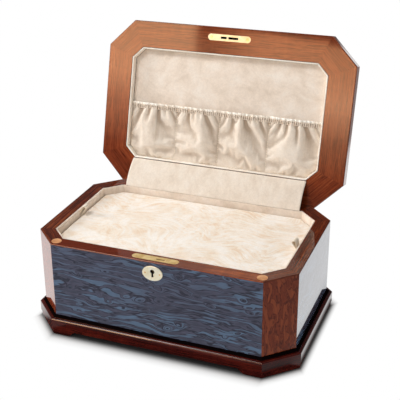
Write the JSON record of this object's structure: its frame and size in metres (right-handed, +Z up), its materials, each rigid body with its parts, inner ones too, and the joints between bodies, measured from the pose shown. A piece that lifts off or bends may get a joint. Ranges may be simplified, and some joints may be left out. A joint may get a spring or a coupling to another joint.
{
  "type": "keepsake box",
  "caption": "Octagonal lacquered keepsake box with a hinged lid, lift-out padded cover, gathered lid pocket, lock and bracket feet.",
  "frame": {"origin": "centre of the bounding box of the open box, on the plane it stands on", "axes": "+X to the right along the front, +Y from the front to the back with the hinges, +Z up"},
  "size_m": [0.365, 0.3122, 0.3518],
  "materials": {
    "dark_mahogany": "high gloss lacquer",
    "light_mahogany": "high gloss lacquer",
    "lid_mahogany": "high gloss lacquer",
    "core_wood": "plain sanded",
    "blue_burl": "dyed burl under high gloss lacquer",
    "mahogany_burl": "burl under high gloss lacquer",
    "suede": "soft matte",
    "plush": "soft matte",
    "ribbon": "fine woven",
    "pocket_suede": "soft matte",
    "card": "plain board",
    "felt": "matte",
    "brass": "polished",
    "lock_brass": "satin",
    "bumper_wood": "satin"
  },
  "bodies": {
    "body": {"plinth_front": "dark_mahogany", "plinth_back": "dark_mahogany", "plinth_sides": "dark_mahogany", "plinth_corners": "dark_mahogany", "foot_front_right": "dark_mahogany", "foot_back_right": "dark_mahogany", "foot_back_left": "dark_mahogany", "foot_front_left": "dark_mahogany", "foot_pads": "felt", "floor_board": "core_wood", "front_panel": "core_wood", "back_panel": "core_wood", "left_panel": "core_wood", "right_panel": "core_wood", "corner_posts": "core_wood", "front_veneer": "blue_burl", "back_veneer": "blue_burl", "side_veneers": "blue_burl", "corner_veneers": "mahogany_burl", "rim_front": "light_mahogany", "rim_back": "dark_mahogany", "rim_sides": "dark_mahogany", "rim_corners": "dark_mahogany", "lining_front": "suede", "lining_back": "suede", "lining_sides": "suede", "lining_corners": "suede", "lining_floor": "plush", "cover_ledges": "suede", "lock_case": "lock_brass", "lock_plate": "brass", "lock_screws": "brass", "escutcheon": "brass", "escutcheon_screws": "brass", "bumpers": "bumper_wood", "hinge_body_leaves": "brass", "hinge_pins": "brass", "hinge_body_screws": "brass", "hinge_flap": "pocket_suede"},
    "lid": {"hinge_lid_leaves": "brass", "hinge_lid_screws": "brass", "lid_front_rail": "lid_mahogany", "lid_back_rail": "lid_mahogany", "lid_left_rail": "lid_mahogany", "lid_right_rail": "lid_mahogany", "lid_corners": "lid_mahogany", "lid_top_board": "dark_mahogany", "lid_top_veneer": "blue_burl", "lid_lining_edge": "suede", "lid_lining_panel": "suede", "pocket_cloth": "pocket_suede", "pocket_elastic": "ribbon", "strike_plate": "brass", "strike_screws": "brass"},
    "cover": {"cover_board": "card", "cover_pad": "plush", "pull_loop_left": "ribbon", "pull_loop_right": "ribbon"},
    "lock_drum": {"lock_drum": "lock_brass"},
    "lock_bolt": {"lock_bolt": "lock_brass"}
  },
  "joints": [
    {"name": "lid_hinge", "type": "hinge", "parent": "body", "child": "lid", "pos_m": [0, 0.07543, 0.1314], "axis": [1, 0, 0], "range_deg": [0, 105.4], "deforming": ["hinge_flap", "pull_loop_left", "pull_loop_right"]},
    {"name": "cover_lift", "type": "slide", "parent": "body", "child": "cover", "axis": [0, 0, 1], "range_m": [0, 0.009]},
    {"name": "key_turn", "type": "hinge", "parent": "body", "child": "lock_drum", "pos_m": [0, -0.14027, 0.118], "axis": [0, -1, 0], "range_deg": [0, 90]},
    {"name": "bolt_slide", "type": "slide", "parent": "body", "child": "lock_bolt", "axis": [0, 0, 1], "range_m": [0, 0.006]}
  ],
  "couplings": [
    {"joint": "key_turn", "follows": "bolt_slide", "rad_per_m": 261.8}
  ]
}
